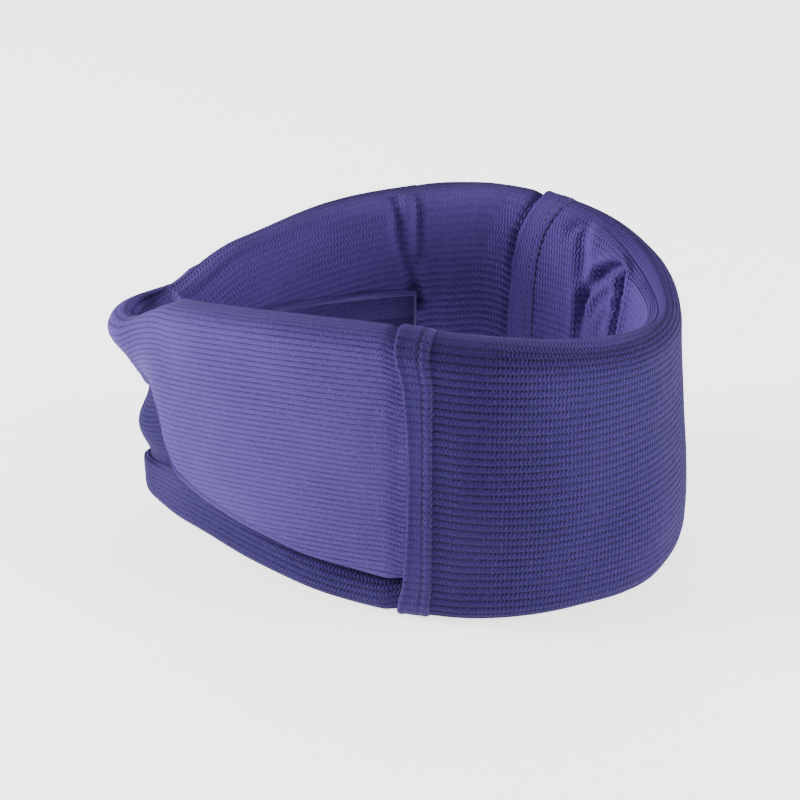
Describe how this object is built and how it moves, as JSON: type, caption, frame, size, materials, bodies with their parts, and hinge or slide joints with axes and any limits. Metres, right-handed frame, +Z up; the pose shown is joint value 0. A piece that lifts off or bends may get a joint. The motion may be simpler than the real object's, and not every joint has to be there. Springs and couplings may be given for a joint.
{
  "type": "cervical collar",
  "caption": "Soft foam cervical collar in a ribbed knit cover: an arched band that wraps the neck, closed by a hook tab at the back.",
  "frame": {"origin": "middle of the collar's box at the height of its lower edge, which it stands on", "axes": "+X is the wearer's front (chin), +Y the wearer's left, +Z up"},
  "size_m": [0.181, 0.1314, 0.0948],
  "materials": {
    "knit_sleeve": "ribbed matte knit",
    "knit_panel": "fine ribbed matte knit",
    "foam_core": "soft open foam",
    "seam_thread": "twisted thread",
    "hook_tape": "hook tape",
    "loop_tape": "loop tape"
  },
  "bodies": {
    "front": {"front_foam": "foam_core", "front_sleeve": "knit_sleeve", "sleeve_hem_right": "knit_sleeve", "sleeve_hem_left": "knit_sleeve", "hem_stitching_right": "seam_thread", "hem_stitching_left": "seam_thread"},
    "right_arm": {"right_arm_foam": "foam_core", "right_arm_cover": "knit_sleeve", "closing_panel_foam": "foam_core", "closing_panel_cover": "knit_panel"},
    "closing_tab": {"closing_tab_foam": "foam_core", "closing_tab_cover": "knit_panel", "hook_patch": "hook_tape", "hook_patch_stitching": "seam_thread"},
    "left_arm": {"left_arm_foam": "foam_core", "left_arm_cover": "knit_sleeve", "left_tab_foam": "foam_core", "left_tab_cover": "knit_sleeve", "loop_patch": "loop_tape", "loop_patch_stitching": "seam_thread"}
  },
  "joints": [
    {"name": "right_arm_open", "type": "hinge", "parent": "front", "child": "right_arm", "pos_m": [0.007, -0.064, 0.047], "axis": [0, 0, 1], "range_deg": [0, 40]},
    {"name": "tab_peel", "type": "hinge", "parent": "right_arm", "child": "closing_tab", "pos_m": [-0.0906, 0.00012, 0.06], "axis": [0, 0, 1], "range_deg": [0, 141]},
    {"name": "left_arm_open", "type": "hinge", "parent": "front", "child": "left_arm", "pos_m": [0.044, 0.0632, 0.047], "axis": [0, 0, 1], "range_deg": [-12.5, 0]}
  ],
  "couplings": [
    {"joint": "tab_peel", "follows": "right_arm_open", "ratio": 3.5},
    {"joint": "left_arm_open", "follows": "right_arm_open", "ratio": -0.3}
  ]
}
